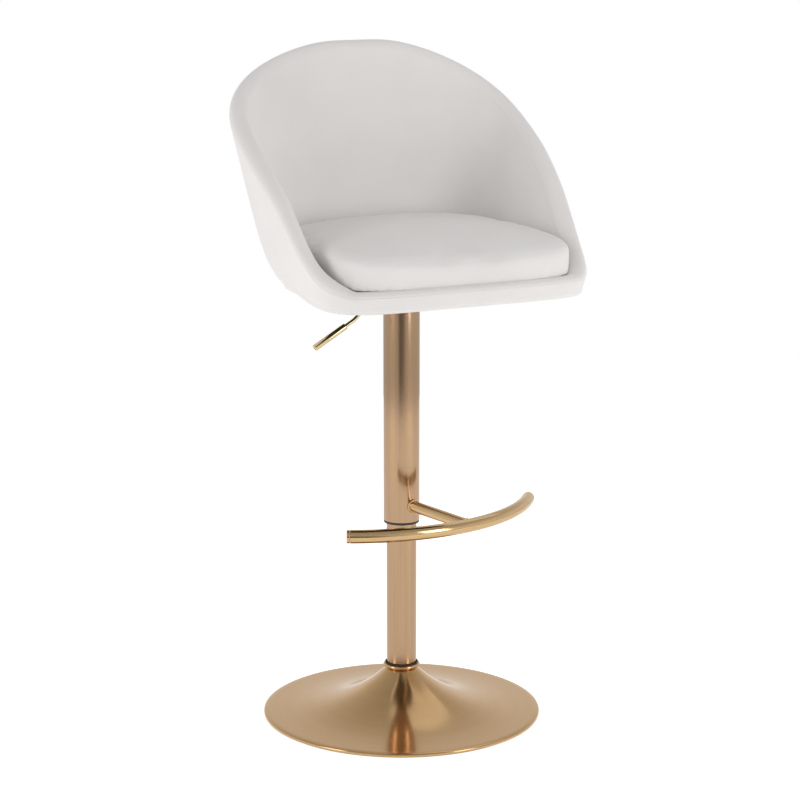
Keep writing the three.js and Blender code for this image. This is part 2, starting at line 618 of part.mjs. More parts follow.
// Outer cover: from the lip turned in under the board up to the underside of the rim roll.
function outerCoverSection(angle) {
  const heights = [SEAT_BOTTOM_Z, (SEAT_BOTTOM_Z + PAD_FLOOR_Z) / 2, ...wallHeights(angle)];
  const outside = heights.map((z) => [outerRadius(angle, z), z]);
  const inside = heights.slice(1).reverse().map((z) => [outerRadius(angle, z) - COVER_THICKNESS, z]);
  const foot = outlineRadius(OUTLINE.bottom, angle);
  const lipTop = BOARD_LOW_Z - GAP;
  const edge = foot - LIP_WIDTH;
  return [[edge, SEAT_BOTTOM_Z], ...outside, ...inside, [foot - COVER_THICKNESS, lipTop], [edge, lipTop]];
}

function plyRadius(angle, z) {
  return outerRadius(angle, z) - COVER_THICKNESS - PLY_GAP;
}

// Bent plywood wall, standing on the base board inside the cover.
function frameSection(angle) {
  const outside = wallHeights(angle).map((z) => [plyRadius(angle, z), z]);
  return [...outside, ...outside.toReversed().map(([radius, z]) => [radius - PLY_THICKNESS, z])];
}

// Inner padding: up the inside, round the rim's roll and down to the top of cover and frame.
function innerPadSection(angle) {
  const rim = rimHeight(angle);
  const shoulder = rim - rollDepth(angle);
  const inside = levels(0, 1, 6).map((share) => {
    const z = PAD_FLOOR_Z + (shoulder - PAD_FLOOR_Z) * share ** 2;
    return [innerRadius(angle, z), z];
  });
  const outer = outerRadius(angle, shoulder);
  const inner = innerRadius(angle, shoulder);
  const half = (outer - inner) / 2;
  const roll = levels(0, Math.PI, 7).slice(1, -1).map((turn) => [
    inner + half - half * Math.cos(turn), shoulder + (rim - shoulder) * Math.sin(turn),
  ]);
  const behind = wallHeights(angle).map((z) => [plyRadius(angle, z) - PLY_THICKNESS - PLY_GAP, z]);
  const ledge = [behind.at(-1)[0], shoulder];
  return [...inside, ...roll, [outer, shoulder], ledge, ...behind.slice(0, -1).reverse()];
}

function frontBox(grow) {
  const width = 2 * (OUTLINE.rim.middle + 40);
  const depth = OUTLINE.rim.reach + 60;
  const back = -OUTLINE.rim.reach + RAIL_DEPTH;
  return block(width, depth, SEAT_BOTTOM_Z - 10, SEAT_TOP_Z + 10).translate(0, back - depth / 2 + grow, 0);
}

// The board stays inside the cover, whichever way the cover's wall leans above the foot.
function baseBoard() {
  const holes = boltHoles(BOARD_LOW_Z, BOARD_TOP_Z, BOLT_RADIUS + TEE_NUT.wall + 2 * GAP);
  const wall = (angle) => Math.min(outerRadius(angle, SEAT_BOTTOM_Z), outerRadius(angle, PAD_FLOOR_Z));
  const radiusAt = (angle) => wall(angle) - COVER_THICKNESS - BOARD_CLEARANCE;
  return cut(slabOf(radiusAt, BOARD_LOW_Z, BOARD_TOP_Z), ...holes);
}

// Thin black cloth stapled under the board, clipped round the seat plate's bolts.
function dustCover() {
  const high = BOARD_LOW_Z - GAP;
  const holes = boltHoles(high - DUST_COVER_THICKNESS, high, BOLT_RADIUS + 2);
  const radiusAt = (angle) => outlineRadius(OUTLINE.bottom, angle) - LIP_WIDTH - DUST_COVER_CLEARANCE;
  return cut(slabOf(radiusAt, high - DUST_COVER_THICKNESS, high), ...holes);
}

// The cushion fills the bucket's inside and, between the arms, reaches forward over the front rail.
function cushionRadius(angle) {
  const overRail = THREE.MathUtils.smoothstep(1 - angleFromFront(angle) / radians(RIM_CORNER_ANGLE), 0, 0.25);
  return innerRadius(angle, CUSHION_BOTTOM_Z) - CUSHION_CLEARANCE + overRail * CUSHION_OVER_RAIL;
}

// Crowned seat pad: domed on top, lower and rounder along its front edge.
function seatCushion() {
  const stations = (angle) => {
    const front = Math.max(0, Math.cos(angle)) ** 2;
    const shoulder = THREE.MathUtils.lerp(CUSHION_CROWN_Z - 14, CUSHION_FRONT_Z, front);
    const low = CUSHION_BOTTOM_Z;
    return [
      [0, low], [0.975, low], [0.995, low + 3], [1, low + 9], [0.998, shoulder - 20],
      [0.975, shoulder - 8], [0.93, shoulder], [0.7, shoulder + (CUSHION_CROWN_Z - shoulder) * 0.6],
      [0.4, shoulder + (CUSHION_CROWN_Z - shoulder) * 0.92], [0, CUSHION_CROWN_Z],
    ];
  };
  return padOf(cushionRadius, stations);
}

function cushionBoard() {
  const high = CUSHION_BOTTOM_Z - GAP;
  const low = high - CUSHION_BOARD_THICKNESS;
  return slabOf((angle) => innerRadius(angle, PAD_FLOOR_Z) - CUSHION_CLEARANCE, low, high);
}

function buildSeat() {
  add("base_board", baseBoard(), plywood());
  add("dust_cover", dustCover(), cloth());
  const frame = ringOf(frameSection);
  add("bucket_frame", cut(frame, frontBox(GAP)), plywood());
  add("front_rail", keepInside(frame, frontBox(0)), plywood());
  add("outer_cover", ringOf(outerCoverSection), leather());
  add("inner_pad", ringOf(innerPadSection), leather());
  add("cushion_board", cushionBoard(), plywood());
  add("seat_cushion", seatCushion(), leather());
}

buildBase();
buildColumn();
buildSpindle();
buildMechanism();
buildFasteners();
buildLever();
buildFootrest();
buildSeat();

export default stool;
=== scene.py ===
# %% [markdown]
# # A bar stool on a gas lift
# The stool is a spun trumpet base, a fixed column, a sleeve that slides down over it with the
# footrest welded on, and a bucket seat with a loose-looking cushion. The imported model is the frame:
# its nodes are already in place, in metres, so every new piece takes its size from a node's box.
# %% Load the frame
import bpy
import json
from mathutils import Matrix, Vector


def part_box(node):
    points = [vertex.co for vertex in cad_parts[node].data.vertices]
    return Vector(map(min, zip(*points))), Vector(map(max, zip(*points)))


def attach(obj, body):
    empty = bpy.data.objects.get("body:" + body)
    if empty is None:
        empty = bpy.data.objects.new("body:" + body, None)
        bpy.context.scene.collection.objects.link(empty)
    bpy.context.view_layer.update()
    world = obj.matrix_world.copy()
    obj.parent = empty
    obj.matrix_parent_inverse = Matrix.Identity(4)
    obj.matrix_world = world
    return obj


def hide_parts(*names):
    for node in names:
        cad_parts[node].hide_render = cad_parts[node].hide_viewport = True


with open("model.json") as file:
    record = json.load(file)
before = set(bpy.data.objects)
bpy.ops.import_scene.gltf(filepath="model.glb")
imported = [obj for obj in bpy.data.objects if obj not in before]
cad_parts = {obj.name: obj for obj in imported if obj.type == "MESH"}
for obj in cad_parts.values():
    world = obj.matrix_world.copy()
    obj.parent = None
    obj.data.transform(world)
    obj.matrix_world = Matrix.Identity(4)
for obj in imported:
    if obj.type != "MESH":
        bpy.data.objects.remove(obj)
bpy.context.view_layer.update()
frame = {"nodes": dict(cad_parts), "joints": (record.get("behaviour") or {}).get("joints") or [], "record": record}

import json
import math

import bmesh
import bpy
import numpy as np

TURN = 2 * math.pi
MM = 0.001
nodes = frame["nodes"]

# %% [markdown]
# ## Camera, floor and light
# A long lens a few metres away keeps the pole's sides nearly parallel. The camera stands on the
# lever's side of the stool's front and looks a little down. The floor is a pale disc that glows a
# little, the sky is a soft white room, and three large soft lamps light the seat's front and back.
# The room is darker behind the camera, which is what draws a calm dark line down a polished pole.
# %% Camera
CAMERA_DISTANCE = 3.8
CAMERA_HEIGHT = 1.3393
CAMERA_TURN = math.radians(-27.6)
CAMERA_TILT = math.radians(11.93)

camera_data = bpy.data.cameras.new("camera")
camera = bpy.data.objects.new("camera", camera_data)
bpy.context.scene.collection.objects.link(camera)
away = np.array([math.sin(CAMERA_TURN), -math.cos(CAMERA_TURN), 0])
camera.location = (*(CAMERA_DISTANCE * away)[:2], CAMERA_HEIGHT)
camera.rotation_euler = (math.pi / 2 - CAMERA_TILT, 0, CAMERA_TURN)
camera_data.sensor_width = 36
camera_data.lens = 106.03
camera_data.shift_x = -0.0019
bpy.context.scene.camera = camera
bpy.context.scene.view_settings.view_transform = "Standard"
print("camera at", [round(v, 3) for v in camera.location])


# %% Helpers for nodes
def new_material(name):
    """An empty material with one Principled shader, and its node tree."""
    material = bpy.data.materials.new(name)
    material.use_nodes = True
    tree = material.node_tree
    tree.nodes.clear()
    shader = tree.nodes.new("ShaderNodeBsdfPrincipled")
    out = tree.nodes.new("ShaderNodeOutputMaterial")
    tree.links.new(shader.outputs["BSDF"], out.inputs["Surface"])
    return material, tree, shader


def node(tree, kind, inputs=None, **settings):
    """Adds a node; inputs maps a socket's name or place to a value or to another node's socket."""
    made = tree.nodes.new(kind)
    for key, value in settings.items():
        setattr(made, key, value)
    for key, value in (inputs or {}).items():
        if isinstance(value, bpy.types.NodeSocket):
            tree.links.new(value, made.inputs[key])
        else:
            made.inputs[key].default_value = value
    return made


def ramp(tree, factor, stops):
    """A colour ramp through (position, colour) stops; a plain number is a grey."""
    made = node(tree, "ShaderNodeValToRGB", {"Fac": factor})
    elements = made.color_ramp.elements
    while len(elements) < len(stops):
        elements.new(0.5)
    for element, (position, colour) in zip(elements, stops):
        element.position = position
        element.color = (*colour, 1) if isinstance(colour, tuple) else (colour, colour, colour, 1)
    return made.outputs["Color"]


# %% Floor, room and lamps
FLOOR_RADIUS = 2.6
FLOOR_GLOW = 0.36
FLOOR_EXTRA = 0.3          # added only for what the lens sees, so that the floor reads as white
ROOM_STRENGTH = 0.8

bpy.ops.mesh.primitive_circle_add(vertices=128, radius=FLOOR_RADIUS, fill_type="NGON")
floor = bpy.context.object
floor.name = "floor"
paint, tree, shader = new_material("floor_paint")
shader.inputs["Base Color"].default_value = (0.93, 0.93, 0.93, 1)
shader.inputs["Roughness"].default_value = 0.9
shader.inputs["Emission Color"].default_value = (1, 1, 1, 1)
ray = node(tree, "ShaderNodeLightPath")
lens = {0: ray.outputs["Is Camera Ray"], 1: FLOOR_EXTRA}
glow = node(tree, "ShaderNodeMath", lens, operation="MULTIPLY_ADD")
glow.inputs[2].default_value = FLOOR_GLOW
tree.links.new(glow.outputs[0], shader.inputs["Emission Strength"])
floor.data.materials.append(paint)

world = bpy.data.worlds.new("room")
bpy.context.scene.world = world
world.use_nodes = True
tree = world.node_tree
tree.nodes.clear()
direction = node(tree, "ShaderNodeTexCoord").outputs["Generated"]
apart = node(tree, "ShaderNodeSeparateXYZ", {"Vector": direction})
facing = node(tree, "ShaderNodeVectorMath", {0: direction, 1: tuple(away)}, operation="DOT_PRODUCT")
BEHIND = [(0.0, 1.0), (0.7, 0.97), (0.9, 0.78), (0.985, 0.25)]
behind = ramp(tree, facing.outputs["Value"], BEHIND)
height = node(tree, "ShaderNodeMath", {0: apart.outputs["Z"], 1: 0.5}, operation="MULTIPLY_ADD")
height.inputs[2].default_value = 0.5
RISING = [(0.0, 0.6), (0.4, 0.8), (0.5, 1.05), (0.62, 1.05), (0.75, 0.78), (1.0, 0.5)]
rising = ramp(tree, height.outputs[0], RISING)
mixed = node(tree, "ShaderNodeMix", {"Factor": 1.0, 6: behind, 7: rising}, data_type="RGBA",
             blend_type="MULTIPLY")
lit = node(tree, "ShaderNodeBackground", {"Color": mixed.outputs[2], "Strength": ROOM_STRENGTH})
seen = node(tree, "ShaderNodeBackground", {"Color": (1, 1, 1, 1), "Strength": 1.0})
ray = node(tree, "ShaderNodeLightPath")
either = node(tree, "ShaderNodeMixShader", {0: ray.outputs["Is Camera Ray"]})
tree.links.new(lit.outputs[0], either.inputs[1])
tree.links.new(seen.outputs[0], either.inputs[2])
out = node(tree, "ShaderNodeOutputWorld", {"Surface": either.outputs[0]})


def lamp(name, turn, distance, height, size, power):
    """A soft rectangular lamp at a turn from the camera's side, aimed at the sleeve's middle."""
    data = bpy.data.lights.new(name, "AREA")
    data.shape = "RECTANGLE"
    data.size, data.size_y = size
    data.energy = power
    lamp_object = bpy.data.objects.new(name, data)
    bpy.context.scene.collection.objects.link(lamp_object)
    angle = CAMERA_TURN + math.radians(turn)
    place = np.array([distance * math.sin(angle), -distance * math.cos(angle), height])
    aim = np.array([0, 0, 0.6]) - place
    lamp_object.location = place
    tilt = math.acos(-aim[2] / np.linalg.norm(aim))
    lamp_object.rotation_euler = (tilt, 0, math.atan2(aim[1], aim[0]) - math.pi / 2)
    return lamp_object


lamp("lamp_left", -58, 3.0, 1.5, (1.0, 1.7), 20)
lamp("lamp_right", 52, 3.0, 1.4, (0.9, 1.7), 20)
lamp("lamp_above", 150, 1.6, 3.0, (2.2, 2.2), 6)
print("stage ready")

# %% [markdown]
# ## Surfaces from arrays
# Nearly every piece here is one of three surfaces: a profile turned about the pole, a round bar
# carried along a path, or a ring of sections round the bucket. Each is a grid of points worked out
# at once, so one helper turns a grid into a closed mesh: it joins the points that coincide at seams
# and poles, and turns the faces outwards.
# %% Mesh helpers
def grid_faces(rows, columns, close_rows, close_columns):
    """Four-sided faces of a rows by columns grid of points, wrapped round where asked."""
    row = np.arange(rows if close_rows else rows - 1)[:, None]
    column = np.arange(columns if close_columns else columns - 1)[None, :]
    next_row, next_column = (row + 1) % rows, (column + 1) % columns
    corners = [row * columns + column, next_row * columns + column,
               next_row * columns + next_column, row * columns + next_column]
    return np.stack([np.broadcast_to(c, (row.size, column.size)) for c in corners], -1).reshape(-1, 4)


def piece_from(name, grid, close_rows=False, close_columns=True, sharp=38):
    """A smooth closed mesh object from a grid of points, shape (rows, columns, 3)."""
    rows, columns = grid.shape[:2]
    mesh = bpy.data.meshes.new(name)
    faces = grid_faces(rows, columns, close_rows, close_columns)
    mesh.from_pydata(grid.reshape(-1, 3).tolist(), [], faces.tolist())
    tidy = bmesh.new()
    tidy.from_mesh(mesh)
    bmesh.ops.remove_doubles(tidy, verts=tidy.verts, dist=2e-6)
    bmesh.ops.dissolve_degenerate(tidy, edges=tidy.edges, dist=1e-6)
    bmesh.ops.recalc_face_normals(tidy, faces=tidy.faces)
    tidy.to_mesh(mesh)
    tidy.free()
    mesh.shade_smooth()
    mesh.set_sharp_from_angle(angle=math.radians(sharp))
    made = bpy.data.objects.new(name, mesh)
    bpy.context.scene.collection.objects.link(made)
    print(f"{name}: {len(mesh.polygons)} faces")
    return made


def eased(corners, radii, steps=5):
    """A closed outline with each corner replaced by a parabola that leaves and meets its sides
    at that corner's own radius, or at 45 hundredths of the shorter side where that is less."""
    corners = np.asarray(corners, float)
    radii = np.broadcast_to(np.asarray(radii, float), len(corners))
    back = np.roll(corners, 1, 0) - corners
    ahead = np.roll(corners, -1, 0) - corners
    lengths = [np.linalg.norm(side, axis=1) for side in (back, ahead)]
    reach = np.minimum(radii, 0.45 * np.minimum(*lengths))
    start = corners + back * (reach / lengths[0])[:, None]
    end = corners + ahead * (reach / lengths[1])[:, None]
    t = np.linspace(0, 1, steps)[None, :, None]
    curve = (1 - t) ** 2 * start[:, None] + 2 * t * (1 - t) * corners[:, None] + t ** 2 * end[:, None]
    return curve.reshape(-1, 2)


def turned(name, profile, segments=144, **kind):
    """Each (radius, z) point of a closed profile is carried round the pole: (r cos a, r sin a, z)."""
    profile = np.asarray(profile, float)
    angle = np.arange(segments)[None, :] / segments * TURN
    radius, z = profile[:, :1], profile[:, 1:]
    grid = np.stack(np.broadcast_arrays(radius * np.cos(angle), radius * np.sin(angle), z), -1)
    return piece_from(name, grid, close_rows=True, **kind)


def swept_grid(path, radii, normal, sides=32):
    """Circles carried along a path: each is centred on a path point and stands square to the path's
    direction there. normal is a direction that the path never follows. Radii of 0 close the ends."""
    path = np.asarray(path, float)
    ahead = np.gradient(path, axis=0)
    ahead /= np.linalg.norm(ahead, axis=1)[:, None]
    side = np.cross(ahead, normal)
    side /= np.linalg.norm(side, axis=1)[:, None]
    up = np.cross(side, ahead)
    angle = np.arange(sides) / sides * TURN
    circle = np.cos(angle)[None, :, None] * side[:, None] + np.sin(angle)[None, :, None] * up[:, None]
    return path[:, None] + np.asarray(radii, float)[:, None, None] * circle


def spin(grid, degrees):
    """The same points turned about the pole."""
    c, s = math.cos(math.radians(degrees)), math.sin(math.radians(degrees))
    return grid @ np.array([[c, s, 0], [-s, c, 0], [0, 0, 1]])


def fit(piece, body, material, slot, *stands_for):
    """Gives a piece its finish and its body, and hides the frame nodes it stands for."""
    piece.data.materials.append(material)
    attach(piece, body)
    if stands_for:
        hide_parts(*stands_for)
    return piece


# %% [markdown]
# ## Brushed and polished rose gold
# The tubes and the base are plated steel, brushed to a satin before plating. Brushing leaves fine
# scratches that all run one way: lengthwise on a tube, in circles on a spun base. Stretched noise
# makes the scratches in both the bump and the roughness, and the shader's anisotropy spreads the
# highlights across them.
# %% Metal finishes
def scratched(tree, shader, place, low, high, depth, coarse=0.12):
    """Fine scratches from noise on the given coordinates, in the bump and, with a coarse noise
    added, in the roughness between low and high. Returns the coarse noise."""
    fine = node(tree, "ShaderNodeTexNoise", {"Vector": place, "Scale": 1.0, "Detail": 3.0})
    broad = node(tree, "ShaderNodeTexNoise", {"Vector": place, "Scale": coarse, "Detail": 2.0})
    both = node(tree, "ShaderNodeMath", {0: fine.outputs["Fac"], 1: broad.outputs["Fac"]}, operation="ADD")
    rough = node(tree, "ShaderNodeMapRange", {"Value": both.outputs[0], "From Min": 0.6, "From Max": 1.4,
                                              "To Min": low, "To Max": high})
    tree.links.new(rough.outputs["Result"], shader.inputs["Roughness"])
    bump = node(tree, "ShaderNodeBump", {"Height": fine.outputs["Fac"], "Strength": 0.2, "Distance": depth})
    tree.links.new(bump.outputs["Normal"], shader.inputs["Normal"])
    return broad.outputs["Fac"]


def tinted(tree, shader, factor, dark, light):
    """The base colour drifts between two close tones."""
    tone = ramp(tree, factor, [(0.3, dark), (0.7, light)])
    tree.links.new(tone, shader.inputs["Base Color"])


def tube_gold(name, dark, light, low, high, stretch=(2600, 2600, 12)):
    """Satin plating with its scratches along the given stretch of object space."""
    material, tree, shader = new_material(name)
    shader.inputs["Metallic"].default_value = 1.0
    shader.inputs["Anisotropic"].default_value = 0.35
    place = node(tree, "ShaderNodeTexCoord").outputs["Object"]
    along = node(tree, "ShaderNodeMapping", {"Vector": place, "Scale": stretch})
    broad = scratched(tree, shader, along.outputs["Vector"], low, high, 0.00001)
    tinted(tree, shader, broad, dark, light)
    return material


def spun_gold(name, dark, light, low, high):
    """Satin plating whose scratches run in circles about the pole: the noise reads the distance
    from the pole closely, and the direction hardly at all."""
    material, tree, shader = new_material(name)
    shader.inputs["Metallic"].default_value = 1.0
    shader.inputs["Anisotropic"].default_value = 0.7
    shader.inputs["Anisotropic Rotation"].default_value = 0.25
    place = node(tree, "ShaderNodeTexCoord").outputs["Object"]
    flat = node(tree, "ShaderNodeVectorMath", {0: place, 1: (1, 1, 0)}, operation="MULTIPLY")
    radius = node(tree, "ShaderNodeVectorMath", {0: flat.outputs[0]}, operation="LENGTH")
    way = node(tree, "ShaderNodeVectorMath", {0: flat.outputs[0]}, operation="NORMALIZE")
    apart = node(tree, "ShaderNodeSeparateXYZ", {"Vector": way.outputs[0]})
    rings = node(tree, "ShaderNodeMath", {0: radius.outputs["Value"], 1: 2400.0}, operation="MULTIPLY")
    joined = node(tree, "ShaderNodeCombineXYZ", {0: apart.outputs["X"], 1: apart.outputs["Y"]})
    tree.links.new(rings.outputs[0], joined.inputs["Z"])
    broad = scratched(tree, shader, joined.outputs[0], low, high, 0.000003, 0.02)
    tinted(tree, shader, broad, dark, light)
    tangent = node(tree, "ShaderNodeTangent", direction_type="RADIAL", axis="Z")
    tree.links.new(tangent.outputs["Tangent"], shader.inputs["Tangent"])
    return material


satin_gold = tube_gold("satin_gold", (0.465, 0.303, 0.18), (0.51, 0.338, 0.206), 0.13, 0.22)
# the footrest's copy of the same rose gold is painted lighter, painted light that lifts the bar, strut, welds and
# plugs out of the shade under the seat
footrest_painted_light_gold = tube_gold("footrest_painted_light_gold", (0.60, 0.41, 0.21), (0.66, 0.455, 0.235), 0.08, 0.14, (14, 2600, 2600))
base_gold = spun_gold("base_gold", (0.59, 0.373, 0.18), (0.62, 0.398, 0.195), 0.14, 0.21)
lever_gold = tube_gold("lever_gold", (0.70, 0.57, 0.32), (0.76, 0.63, 0.36), 0.08, 0.16, (900, 900, 900))
print("metal finishes:", satin_gold.name, footrest_painted_light_gold.name, base_gold.name, lever_gold.name)


# %% [markdown]
# ## Finishes that hide inside or under the seat
# Nobody sees the bearing or the bolts from the front, but the model is taken apart and turned over,
# so each gets its own plain finish: ground steel, zinc with its cloudy passivation, paint with a
# fine orange peel, moulded plastic, rubber, and plywood with its plies showing on the edge.
# %% Plain finishes
def plain_finish(name, dark, light, roughness, scale, bump=0.1, metallic=0.0, stretch=(1, 1, 1)):
    """Two close tones and a light bump from one noise."""
    material, tree, shader = new_material(name)
    shader.inputs["Metallic"].default_value = metallic
    place = node(tree, "ShaderNodeTexCoord").outputs["Object"]
    along = node(tree, "ShaderNodeMapping", {"Vector": place, "Scale": stretch})
    noise = node(tree, "ShaderNodeTexNoise", {"Vector": along.outputs["Vector"], "Scale": scale})
    tinted(tree, shader, noise.outputs["Fac"], dark, light)
    spread = {"From Min": 0.3, "From Max": 0.7, "To Min": roughness - 0.06, "To Max": roughness + 0.06}
    rough = node(tree, "ShaderNodeMapRange", {"Value": noise.outputs["Fac"], **spread})
    tree.links.new(rough.outputs["Result"], shader.inputs["Roughness"])
    relief = node(tree, "ShaderNodeBump", {"Height": noise.outputs["Fac"], "Strength": bump})
    relief.inputs["Distance"].default_value = 0.0002
    tree.links.new(relief.outputs["Normal"], shader.inputs["Normal"])
    return material


finishes = {
    "plain_steel": plain_finish("ground_steel", (0.5, 0.5, 0.51), (0.6, 0.6, 0.61), 0.35, 300, metallic=1.0,
                                stretch=(8, 8, 1)),
    "zinc": plain_finish("zinc_plate", (0.6, 0.61, 0.6), (0.72, 0.72, 0.7), 0.32, 160, metallic=1.0),
    "black_steel": plain_finish("black_paint", (0.018, 0.018, 0.019), (0.03, 0.03, 0.031), 0.42, 900),
    "black_plastic": plain_finish("moulded_plastic", (0.02, 0.02, 0.021), (0.032, 0.032, 0.033), 0.5, 1400),
    "rubber": plain_finish("rubber", (0.02, 0.02, 0.02), (0.035, 0.034, 0.033), 0.8, 700),
    "plywood": plain_finish("plywood", (0.46, 0.31, 0.17), (0.62, 0.45, 0.27), 0.6, 60, 0.3,
                            stretch=(1, 0.12, 12)),
    "dust_cloth": plain_finish("dust_cloth", (0.012, 0.012, 0.013), (0.03, 0.03, 0.032), 0.9, 2200, 0.5),
    "rose_gold": satin_gold,
    "bright_gold": lever_gold,
}
slots = {part["node"]: part["material_slot"] for part in frame["record"]["subparts"]}
print("finishes:", len(finishes))

# %% [markdown]
# ## Faux leather
# The seat is covered in a smooth off-white faux leather: a coated cloth with a very fine pebble, so
# small that it only softens the highlights. Two scales of Voronoi cells make the pebble, a slow
# noise makes the skin drift a little in tone and lets it ripple by a fraction of a millimetre.
# %% Leather
def leather_finish(name, dark, light):
    """Fine pebble and slow drift, both from object coordinates."""
    material, tree, shader = new_material(name)
    shader.inputs["Specular IOR Level"].default_value = 0.35
    place = node(tree, "ShaderNodeTexCoord").outputs["Object"]
    pebble = node(tree, "ShaderNodeTexVoronoi", {"Vector": place, "Scale": 900.0}, feature="SMOOTH_F1")
    pores = node(tree, "ShaderNodeTexNoise", {"Vector": place, "Scale": 420.0, "Detail": 4.0})
    drift = node(tree, "ShaderNodeTexNoise", {"Vector": place, "Scale": 7.0, "Detail": 2.0})
    tinted(tree, shader, drift.outputs["Fac"], dark, light)
    both = {0: pebble.outputs["Distance"], 1: pores.outputs["Fac"]}
    grain = node(tree, "ShaderNodeMath", both, operation="ADD")
    rough = node(tree, "ShaderNodeMapRange", {"Value": grain.outputs[0], "From Min": 0.4, "From Max": 1.3,
                                              "To Min": 0.42, "To Max": 0.58})
    tree.links.new(rough.outputs["Result"], shader.inputs["Roughness"])
    slow = node(tree, "ShaderNodeBump", {"Height": drift.outputs["Fac"], "Strength": 0.35})
    slow.inputs["Distance"].default_value = 0.004
    fine = node(tree, "ShaderNodeBump", {"Height": grain.outputs[0], "Strength": 0.18, "Distance": 0.0003,
                                         "Normal": slow.outputs["Normal"]})
    tree.links.new(fine.outputs["Normal"], shader.inputs["Normal"])
    return material


leather = leather_finish("faux_leather", (0.81, 0.787, 0.772), (0.85, 0.826, 0.81))
finishes["leather"] = finishes["padding"] = leather
WRAPPED = ("cushion_board",)        # the cushion's case is drawn over this board
for name, piece in nodes.items():
    piece.data.materials.clear()
    piece.data.materials.append(leather if name in WRAPPED else finishes[slots[name]])
print("frame nodes given a finish:", len(nodes))

# %% [markdown]
# ## The spun base
# A disc of sheet steel is spun over a form into a trumpet: steep where it meets the column, nearly
# flat at the edge, with the hem rolled under. One profile turned about the pole gives exactly that.
# The curve's height is 7 hundredths straight and 93 hundredths a power of the way in from the edge.
# %% Base
base_low, base_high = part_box("base_shell")
EDGE_HEIGHT = 7 * MM
SHEET = 2.5 * MM
FLARE = 3.1
HEM = 5 * MM               # width of the rounded edge
base_radius, neck_height = base_high.x, base_high.z
column_low, column_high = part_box("column_tube")
column_radius = column_high.x
GAP = 0.35 * MM


def trumpet(radius):
    """Height of the base's top at a distance from the pole."""
    share = (base_radius - radius) / (base_radius - column_radius)
    return EDGE_HEIGHT + (neck_height - EDGE_HEIGHT) * (0.07 * share + 0.93 * share ** FLARE)


neck = column_radius + GAP
inward = neck + (base_radius - HEM - neck) * np.linspace(0, 1, 70) ** 1.8
top = np.stack([inward, np.minimum(trumpet(inward), neck_height)], 1)
corners = [[base_radius - HEM, EDGE_HEIGHT], [base_radius, EDGE_HEIGHT - MM], [base_radius, base_low.z],
           [base_radius - SHEET, base_low.z], [base_radius - SHEET, EDGE_HEIGHT - SHEET]]
hem = eased(corners, [0, 4 * MM, MM, MM, MM])
under = inward[8:-1][::-1]
inside = np.stack([under, trumpet(under) - SHEET], 1)
base = turned("spun_base", np.concatenate([top, hem[5:], inside, [[neck, inside[-1, 1]]]]), segments=224)
fit(base, "base", base_gold, "rose_gold", "base_shell")

# %% [markdown]
# ## Column, collar and seal
# The column is welded to the base under a small rolled ring, and a black seal closes the joint
# above it. All three are turned profiles with eased corners, since a sharp edge catches no light
# and never looks real.
# %% Column and collar
def ring_profile(low, high, inner, outer, easing):
    """A rectangle between two heights and two radii, with eased corners."""
    return eased([[inner, low], [outer, low], [outer, high], [inner, high]], easing)


collar_low, collar_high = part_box("collar_ring")
half = (collar_high.z - collar_low.z) / 2
angles = np.linspace(-math.pi / 2, math.pi / 2, 17)
bead = half * np.stack([np.cos(angles), np.sin(angles)], 1) + [collar_high.x - half, collar_low.z + half]
collar = turned("collar_bead", np.concatenate([[[neck, collar_low.z]], bead, [[neck, collar_high.z]]]))
fit(collar, "base", base_gold, "rose_gold", "collar_ring")

seal_low, seal_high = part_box("collar_gasket")
seal = turned("collar_seal", ring_profile(seal_low.z, seal_high.z, neck, seal_high.x, 0.7 * MM))
fit(seal, "base", finishes["rubber"], "rubber", "collar_gasket")

COLUMN_WALL = 2 * MM
profile = ring_profile(column_low.z, column_high.z, column_radius - COLUMN_WALL, column_radius, 0.8 * MM)
column = turned("column", profile)
fit(column, "base", satin_gold, "rose_gold", "column_tube")

ring_low, ring_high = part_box("floor_ring")
profile = ring_profile(ring_low.z, ring_high.z, ring_high.x - 12 * MM, ring_high.x, 0.8 * MM)
foot_ring = turned("floor_seal", profile)
fit(foot_ring, "base", finishes["rubber"], "rubber", "floor_ring")

# %% [markdown]
# ## Sleeve and its bush
# The sleeve hides the gas spring and rides down over the column with the seat. A black plastic bush
# in its mouth keeps the two from scraping, and shows as a thin dark line under the sleeve's edge.
# %% Sleeve
SLEEVE_WALL = 1.5 * MM
sleeve_low, sleeve_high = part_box("sleeve_tube")
sleeve_radius = sleeve_high.x
profile = ring_profile(sleeve_low.z, sleeve_high.z, sleeve_radius - SLEEVE_WALL, sleeve_radius, 0.7 * MM)
sleeve = turned("sleeve", profile)
fit(sleeve, "seat", satin_gold, "rose_gold", "sleeve_tube")

bush_low, bush_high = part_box("sleeve_lower_bush")
running = column_radius + 0.5 * MM
barrel = sleeve_radius - SLEEVE_WALL - GAP
shoulder = sleeve_low.z - GAP
corners = [[running, bush_low.z], [bush_high.x, bush_low.z], [bush_high.x, shoulder], [barrel, shoulder],
           [barrel, bush_high.z], [running, bush_high.z]]
bush = turned("sleeve_bush", eased(corners, 0.8 * MM))
fit(bush, "seat", finishes["black_plastic"], "black_plastic", "sleeve_lower_bush")

# %% [markdown]
# ## Footrest
# A straight strut is welded square to the sleeve, and a bar bent to a wide arc is welded across its
# end. The bar is a round section carried along the arc. The strut's two ends are cut to the sleeve
# and to the bar, so each of its lines runs from the sleeve's skin to the bar's skin. The weld is a
# thin bead along that cut.
# %% Bar
FOOTREST_TURN = 12
ARC_RADIUS = 300 * MM
BAR_REACH = 171 * MM
HALF_ANGLE = math.radians(39.5)
bar_low, bar_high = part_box("footrest_bar")
bar_z = (bar_low.z + bar_high.z) / 2
bar_radius = 11 * MM
arc_centre = ARC_RADIUS - BAR_REACH


